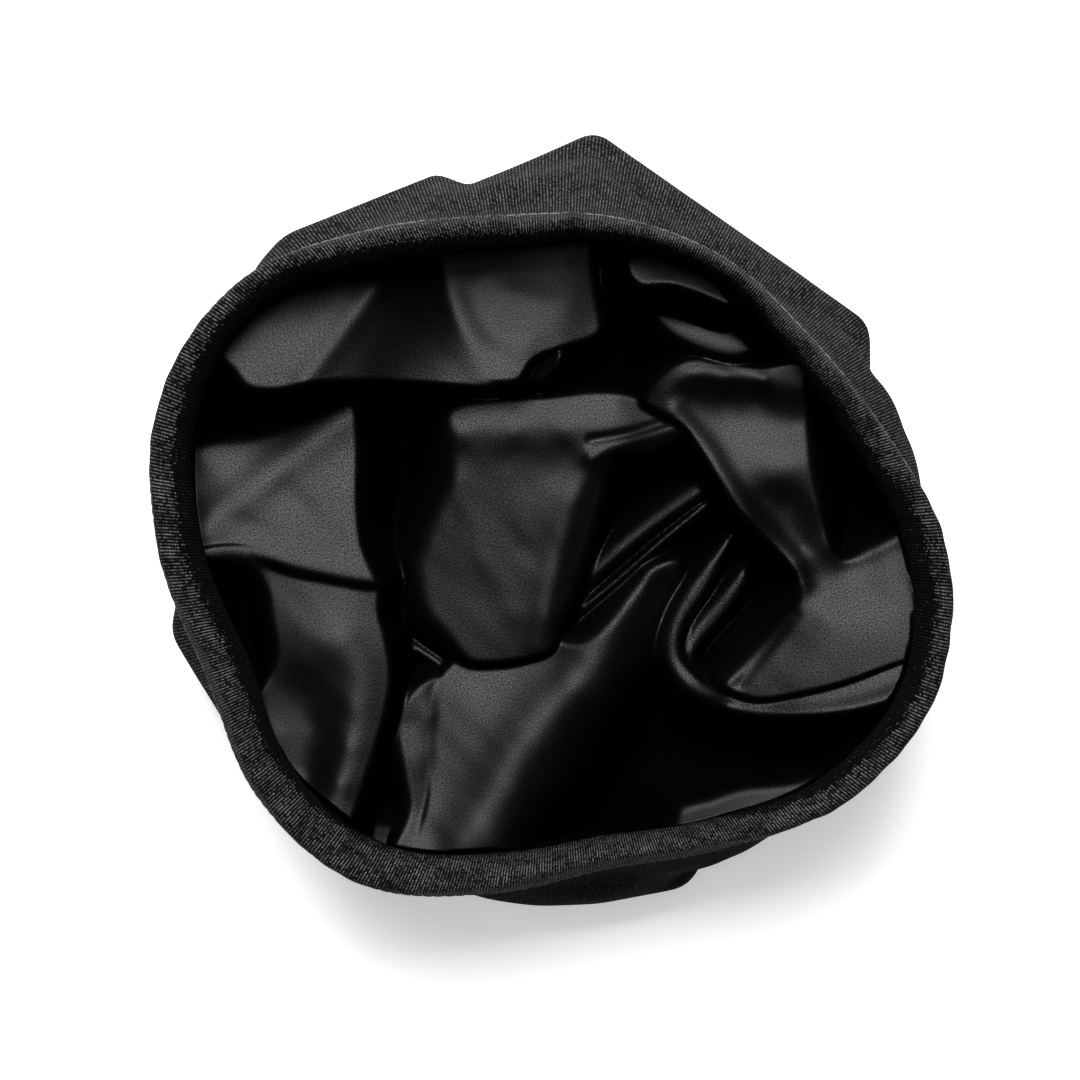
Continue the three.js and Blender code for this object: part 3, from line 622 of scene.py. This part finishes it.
def hemPoints(angle, rows):
    inner, outer = mouthAt("inner", angle), mouthAt("outer", angle)
    flare, crest = mouthAt("flare", angle), mouthAt("crest", angle)
    width = outer - inner
    keys = [[inner + width * across + flare * out, crest + up] for across, out, up in hem["section"]]
    samples = curve(keys, 12)
    step = np.linalg.norm(np.diff(samples, axis=0), axis=1).mean(-1)
    along = np.r_[0, np.cumsum(step)]
    want = np.linspace(0, along[-1], rows)
    index = np.interp(want, along, np.arange(len(along)))
    first = np.minimum(index.astype(int), len(samples) - 2)
    t = (index - first)[:, None, None]
    return samples[first] * (1 - t) + samples[first + 1] * t


def makeHem():
    angle = np.linspace(0, 2 * math.pi, hem["columns"] + 1)
    section = hemPoints(angle, hem["rows"])
    radius, z = section[:, 0], section[:, 1]
    inner, outer = mouthAt("inner", angle), mouthAt("outer", angle)
    across = (radius - inner) / (outer - inner)
    # painted shade on the hem's inner side, as wide as the mouth's shade column
    gap = ramp((mouthAt("shade", angle) - across) / hem["shadeFade"] + 0.5)
    share = np.linspace(0, 1, hem["rows"])[:, None]
    upper = np.sin(math.pi * share) ** 0.7  # none at the two feet
    radius = radius + upper * sum(wander(angle, *waves) for waves in hem["puckersOut"])
    z = z + upper * sum(wander(angle, *waves) for waves in hem["puckersUp"])
    points = np.stack([radius * np.cos(angle), radius * np.sin(angle), z], -1)
    piece = clothPiece("hem_band", points[::-1], gap[::-1])
    thicken(piece, hem["cloth"])
    return piece


# The shell: a jersey bag slumped on the floor, stretched between the tips of its outline.
shell = {
    "cloth": 1.2,
    "columns": 480,
    "inset": 1.6,  # of its upper edge, from the hem's foot
    "edge": [(-0.6, 3), (-0.2, 0)],  # out from the inset, up from the hem's foot
    "footShare": 0.76,  # of the reach that lies flat on the floor
    "footRings": [0.66, 0.33, 0],
    "tipRounding": 1.6,  # degrees
    # the outline's tips: x, y, height
    "tips": [(11, 107, 26), (80, 58, 30), (88, 30, 34), (96, -4, 36), (93, -33, 36), (71, -60, 34),
             (48, -77, 30), (34, -86, 26), (12, -89, 26), (-3, -89, 26), (-18, -87, 28), (-46, -79, 32),
             (-70, -59, 34), (-81, -43, 32), (-97, -21, 28), (-97, -10, 28), (-95, 8, 34), (-92, 40, 34),
             (-74, 73, 32), (-68, 80, 30), (-28, 97, 26), (-23, 93, 26)],
    # the wall below the hem: share of the way down, share of the way out, how far it is drawn in
    "drape": [(0.05, 0.04, -0.6), (0.18, 0.14, -0.4), (0.34, 0.34, 0.8), (0.5, 0.55, 1.2), (0.67, 0.75, 0.8),
              (0.84, 0.91, 0.2), (1, 1, 0)],
    # slouch folds: direction, height, half width in degrees, half height, how far out, climb per degree
    "slouches": [(8, 50, 22, 4, -4, 0.25), (14, 34, 26, 6, 2.5, 0.2), (32, 36, 20, 5, -6, 0.5),
                 (60, 54, 18, 5, -4, 0.4), (78, 40, 14, 6, -5, -0.5), (100, 50, 12, 6, 4, -0.4),
                 (110, 46, 7, 2.2, -2.5, 0.8), (124, 44, 14, 6, -6, 0.6), (150, 54, 20, 4, -4, -0.3),
                 (162, 42, 24, 5, 3, -0.2), (186, 32, 18, 5, -5, 0.4), (206, 52, 16, 4, -4, 0.5),
                 (214, 38, 20, 5, 2.5, 0.35), (238, 32, 20, 5, -6, -0.4), (262, 46, 18, 4, -4, 0.3),
                 (278, 34, 24, 5, 2.5, 0.15), (300, 28, 16, 5, -5, -0.5), (318, 46, 18, 4, -4, -0.4),
                 (332, 36, 20, 5, 2.5, -0.3), (348, 26, 16, 5, -4, 0.4)],
    # shade painted on the near side: direction, half width and fade in degrees, how dark, fade below the hem
    "nearDark": {"at": 272, "half": 66, "fade": 44, "share": 0.9, "depth": 3},
    "knit": {"wales": 710, "courses": 270, "blotch": 1.4, "light": (0.16, 0.16, 0.162)},
}


# Reach of the slumped crown and the height of its widest line, in each direction.
def crownAt(angle):
    tips = np.array(shell["tips"], float)
    others = np.roll(tips, -1, 0)
    rayX, rayY = np.cos(angle)[..., None], np.sin(angle)[..., None]
    alongX, alongY = others[:, 0] - tips[:, 0], others[:, 1] - tips[:, 1]
    turn = rayX * alongY - rayY * alongX
    reach = (tips[:, 0] * alongY - tips[:, 1] * alongX) / turn
    share = (tips[:, 0] * rayY - tips[:, 1] * rayX) / turn
    good = (reach > 0) & (share >= 0) & (share <= 1)
    pick = np.argmax(good, -1)[..., None]
    heights = tips[:, 2] + share * (others[:, 2] - tips[:, 2])
    return np.take_along_axis(reach, pick, -1)[..., 0], np.take_along_axis(heights, pick, -1)[..., 0]


def roundedCrown(angle):
    turns = [crownAt(angle + math.radians(k * shell["tipRounding"])) for k in (-1, -0.5, 0, 0.5, 1)]
    return np.mean([t[0] for t in turns], 0), np.mean([t[1] for t in turns], 0)


def slouchAt(angle, z):
    out = 0
    for at, height, turn, tall, push, climb in shell["slouches"]:
        away = (np.degrees(angle) - at + 180) % 360 - 180
        out = out + push * bell(away, turn) * bell(z - height - climb * away, tall)
    return out


def makeShell():
    angle = np.linspace(0, 2 * math.pi, shell["columns"] + 1)
    crest = mouthAt("crest", angle)
    edge = mouthAt("outer", angle) + mouthAt("flare", angle) - shell["inset"]
    foot = crest - hem["depth"]
    reach, height = roundedCrown(angle)
    keys = [(edge + out, foot + up) for out, up in shell["edge"]]
    for down, out, tuck in shell["drape"]:
        z = foot + (height - foot) * down
        ease = math.sin(math.pi * min(down, 0.5))
        keys.append((edge + (reach - edge) * out - tuck + ease * slouchAt(angle, z), z))
    wide = keys[-1][0]
    flat = reach * shell["footShare"]
    for turn in np.linspace(0, math.pi / 2, 6)[1:]:
        keys.append((flat + (wide - flat) * np.cos(turn), height * (1 - np.sin(turn))))
    for share in shell["footRings"]:
        keys.append((flat * share, 0 * angle))
    samples = curve(keys, 5)
    radius, z = np.maximum(samples[:, 0], 0), np.maximum(samples[:, 1], 0)
    points = np.stack([radius * np.cos(angle), radius * np.sin(angle), z], -1)
    dark = shell["nearDark"]
    away = np.abs((np.degrees(angle) - dark["at"] + 180) % 360 - 180)
    # painted shade on the near side of the wall, below the hem
    gap = dark["share"] * ramp((dark["half"] - away) / dark["fade"]) * ramp((foot - z) / dark["depth"] + 0.5)
    piece = clothPiece("shell_jersey", points[::-1], gap[::-1])
    thicken(piece, shell["cloth"])
    return piece


# The stitch line: short threads round the foot of the hem.
stitches = {
    "count": 216,
    "length": 2.8,
    "width": 0.55,
    "up": -11,  # from the crest
    "out": 0.1,  # from the hem's foot
    "turn": 9,  # degrees that each thread leans, one way and the other
    "uneven": 3,  # degrees
    "ringSteps": 1440,
}


def makeStitches():
    deselect()
    bpy.ops.mesh.primitive_ico_sphere_add(subdivisions=2, radius=0.5)
    seed = bpy.context.object
    corners = np.array([corner.co for corner in seed.data.vertices])
    faces = np.array([face.vertices for face in seed.data.polygons])
    angle = np.linspace(0, 2 * math.pi, stitches["ringSteps"] + 1)
    radius = mouthAt("outer", angle) + mouthAt("flare", angle) + stitches["out"]
    height = mouthAt("crest", angle) + stitches["up"]
    ring = np.stack([radius * np.cos(angle), radius * np.sin(angle), height], -1)
    along = np.r_[0, np.cumsum(np.linalg.norm(np.diff(ring, axis=0), axis=1))]
    count = stitches["count"]
    at = np.interp(np.arange(count) / count * along[-1], along, np.arange(len(ring)))
    middle = np.stack([np.interp(at, np.arange(len(ring)), ring[:, k]) for k in range(3)], -1)
    forward = np.roll(middle, -1, 0) - np.roll(middle, 1, 0)
    forward /= np.linalg.norm(forward, axis=1)[:, None]
    up = np.array([0, 0, 1]) - forward * forward[:, 2:]
    outward = np.cross(forward, up)
    uneven = draw.normal(0, stitches["uneven"], count)
    lean = np.radians(stitches["turn"] * (-1) ** np.arange(count) + uneven)[:, None]
    reach = forward * np.cos(lean) + up * np.sin(lean)
    rise = up * np.cos(lean) - forward * np.sin(lean)
    size = np.array([stitches["length"], stitches["width"], stitches["width"]])
    axes = np.stack([reach, outward, rise], 1) * size[None, :, None]
    points = middle[:, None] + np.einsum("vk,nkc->nvc", corners, axes)
    joined = (faces[None] + len(corners) * np.arange(count)[:, None, None]).reshape(-1, 3)
    seed.data.clear_geometry()
    seed.data.from_pydata((points.reshape(-1, 3) * mm).tolist(), [], joined.tolist())
    seed.name = seed.data.name = "hem_stitches"
    bpy.ops.object.shade_smooth()
    return seed


# A value on its way through a material's nodes; arithmetic on it adds Math nodes.
class Signal:
    def __init__(self, finish, socket):
        self.finish = finish
        self.socket = socket

    def maths(self, operation, *others):
        return self.finish.maths(operation, self, *others)

    def __add__(self, other):
        return self.maths("ADD", other)

    def __sub__(self, other):
        return self.maths("SUBTRACT", other)

    def __rsub__(self, other):
        return self.finish.maths("SUBTRACT", other, self)

    def __mul__(self, other):
        return self.maths("MULTIPLY", other)

    __radd__ = __add__
    __rmul__ = __mul__


# A material and its nodes.
class Finish:
    def __init__(self, name, **fixed):
        self.material = bpy.data.materials.new(name)
        self.material.use_nodes = True
        self.tree = self.material.node_tree
        self.surface = self.tree.nodes["Principled BSDF"]
        for socket, value in fixed.items():
            self.surface.inputs[socket.replace("_", " ")].default_value = value

    def feed(self, socket, value):
        if isinstance(value, Signal):
            self.tree.links.new(value.socket, socket)
        else:
            socket.default_value = value

    def node(self, kind, settings, sockets):
        made = self.tree.nodes.new(kind)
        for name, value in settings.items():
            setattr(made, name, value)
        for name, value in sockets.items():
            self.feed(made.inputs[name], value)
        return {output.name: Signal(self, output) for output in made.outputs if output.enabled}

    def maths(self, operation, *values):
        return self.node("ShaderNodeMath", {"operation": operation}, dict(enumerate(values)))["Value"]

    def clothPlace(self):
        uv = self.node("ShaderNodeUVMap", {"uv_map": "UVMap"}, {})["UV"]
        parts = self.node("ShaderNodeSeparateXYZ", {}, {"Vector": uv})
        return parts["X"], parts["Y"]

    def point(self, x, y):
        return self.node("ShaderNodeCombineXYZ", {}, {"X": x, "Y": y})["Vector"]

    # the shade painted on a cloth, read from its gap attribute
    def gap(self):
        return self.node("ShaderNodeAttribute", {"attribute_name": "gap"}, {})["Fac"]

    def between(self, share, dark, light):
        sockets = {"Factor": share, 6: (*dark, 1), 7: (*light, 1)}  # 6 and 7 are the colours
        mixed = self.node("ShaderNodeMix", {"data_type": "RGBA"}, sockets)
        return mixed["Result"]

    def noise(self, x, y, detail):
        sockets = {"Vector": self.point(x, y), "Scale": 1.0, "Detail": detail}
        return self.node("ShaderNodeTexNoise", {}, sockets)["Fac"]

    def shine(self, **sockets):
        for socket, value in sockets.items():
            self.feed(self.surface.inputs[socket.replace("_", " ")], value)


# Jersey: wales of small V stitches along the second cloth direction.
jersey = {
    "patches": 0.12,  # a stitch
    "fibres": 2.5,  # a stitch
    "waver": 0.6,  # how far the rows of stitches wander
    "slant": 0.8,  # of the two legs of a stitch
    "loop": 0.35,  # how far a stitch darkens at its ends
    "fibreContrast": 3.4,
    "bump": 0.0005,
    "dark": (0.001, 0.001, 0.001),
}


def jerseyFinish(name, knit):
    finish = Finish(name, Roughness=0.92, Specular_IOR_Level=0.15)
    u, v = finish.clothPlace()
    wale, course = u * knit["wales"], v * knit["courses"]
    uneven = finish.noise(wale * jersey["patches"], course * jersey["patches"], 3.0)
    fibre = finish.noise(wale * jersey["fibres"], course * jersey["fibres"], 2.0)
    across = wale + uneven * jersey["waver"]
    fromMiddle = (across.maths("FRACT") - 0.5).maths("ABSOLUTE")
    leg = (fromMiddle * math.pi).maths("COSINE").maths("MAXIMUM", 0.0)
    rise = course + fromMiddle * jersey["slant"] + uneven * jersey["waver"]
    loop = (rise.maths("FRACT") * math.pi).maths("SINE")
    cell = finish.point(across.maths("FLOOR"), rise.maths("FLOOR"))
    chance = finish.node("ShaderNodeTexWhiteNoise", {"noise_dimensions": "2D"}, {"Vector": cell})["Value"]
    # painted shade: stitches fade out where the gap attribute is high, a few lit ones left at random
    outsidePaintedShade = ((chance * 0.8 + 0.3 - finish.gap()) * 2.5).maths("MINIMUM", 1.0).maths("MAXIMUM", 0.02)
    stitch = leg * (loop * jersey["loop"] + (1 - jersey["loop"]))
    patch = (uneven * knit["blotch"] + (1 - knit["blotch"] / 2)).maths("MAXIMUM", 0.15)
    fuzz = ((fibre - 0.5) * jersey["fibreContrast"] + 1).maths("MAXIMUM", 0.05)
    yarn = stitch * stitch * stitch * fuzz
    tone = yarn * (chance * 1.3 + 0.1) * patch * outsidePaintedShade
    finish.shine(Base_Color=finish.between(tone, jersey["dark"], knit["light"]))
    sockets = {"Strength": 0.9, "Distance": jersey["bump"], "Height": stitch + fibre * 0.3}
    bump = finish.node("ShaderNodeBump", {}, sockets)
    finish.shine(Normal=bump["Normal"])
    return finish.material


# Satin: smooth, with a fine grain of floats.
satin = {
    "black": (0.0015, 0.0015, 0.0016, 1),
    "rough": 0.38,
    "floats": (520, 420),  # along and across the cloth
    "patches": 9,
    "gloss": 0.75,
}


def satinFinish():
    finish = Finish("black satin", Base_Color=satin["black"], Specular_IOR_Level=0.0,
                    Coat_Roughness=satin["rough"])
    u, v = finish.clothPlace()
    grain = finish.noise(u * satin["floats"][0], v * satin["floats"][1], 1.0)
    slow = finish.noise(u * satin["patches"], v * satin["patches"], 2.0)
    spark = ((grain - 0.23) * 1.8).maths("MAXIMUM", 0.05)
    # painted shade: the gloss is taken away where the cloth's gap attribute is high
    finish.shine(Coat_Weight=spark * (slow * 0.4 + 0.8) * (1 - finish.gap()) * satin["gloss"])
    return finish.material


def dress(piece, material, node):
    piece.data.materials.append(material)
    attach(piece, "root")
    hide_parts(node)


satinLining = makeLining()
print("lining made", len(satinLining.data.polygons))
hemBand = makeHem()
print("hem made", len(hemBand.data.polygons))
jerseyShell = makeShell()
print("shell made", len(jerseyShell.data.polygons))

hemStitches = makeStitches()
print("stitches made", len(hemStitches.data.polygons))

thread = Finish("grey thread", Base_Color=(0.15, 0.15, 0.15, 1), Roughness=0.8)
hemStitches.data.materials.append(thread.material)
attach(hemStitches, "root")
dress(satinLining, satinFinish(), "satin_lining")
dress(hemBand, jerseyFinish("hem jersey", hem["knit"]), "rim_band")
dress(jerseyShell, jerseyFinish("shell jersey", shell["knit"]), "outer_shell")

# Stage
deselect()
bpy.ops.mesh.primitive_plane_add(size=6)
floor = bpy.context.object
floor.name = "floor"
paper = Finish("pale paper", Base_Color=(0.86, 0.86, 0.86, 1), Roughness=0.8,
               Emission_Color=(1, 1, 1, 1), Emission_Strength=0.5)
floor.data.materials.append(paper.material)

lights = {
    "key": {"place": (-0.1, 0.62, 1.15), "size": 0.8, "power": 28},
    "top": {"place": (0, 0.15, 1.5), "size": 0.7, "power": 5},
}
aim = Vector((0, 0, 0.05))
for name, light in lights.items():
    bpy.ops.object.light_add(type="AREA", location=light["place"])
    lamp = bpy.context.object
    lamp.name = name
    lamp.data.size = light["size"]
    lamp.data.energy = light["power"]
    lamp.rotation_euler = (aim - Vector(light["place"])).to_track_quat("-Z", "Y").to_euler()

world = bpy.data.worlds.new("room")
bpy.context.scene.world = world
world.use_nodes = True
world.node_tree.nodes["Background"].inputs["Color"].default_value = (1, 1, 1, 1)
world.node_tree.nodes["Background"].inputs["Strength"].default_value = 0.012
bpy.context.scene.view_settings.view_transform = "Standard"
bpy.context.scene.view_settings.gamma = 0.85

bpy.ops.object.camera_add(location=(view["eyeX"] * mm, view["eyeY"] * mm, view["eyeUp"] * mm))
camera = bpy.context.object
camera.data.lens = 120
camera.data.sensor_width = 36
bpy.context.scene.camera = camera

print("scene ready")
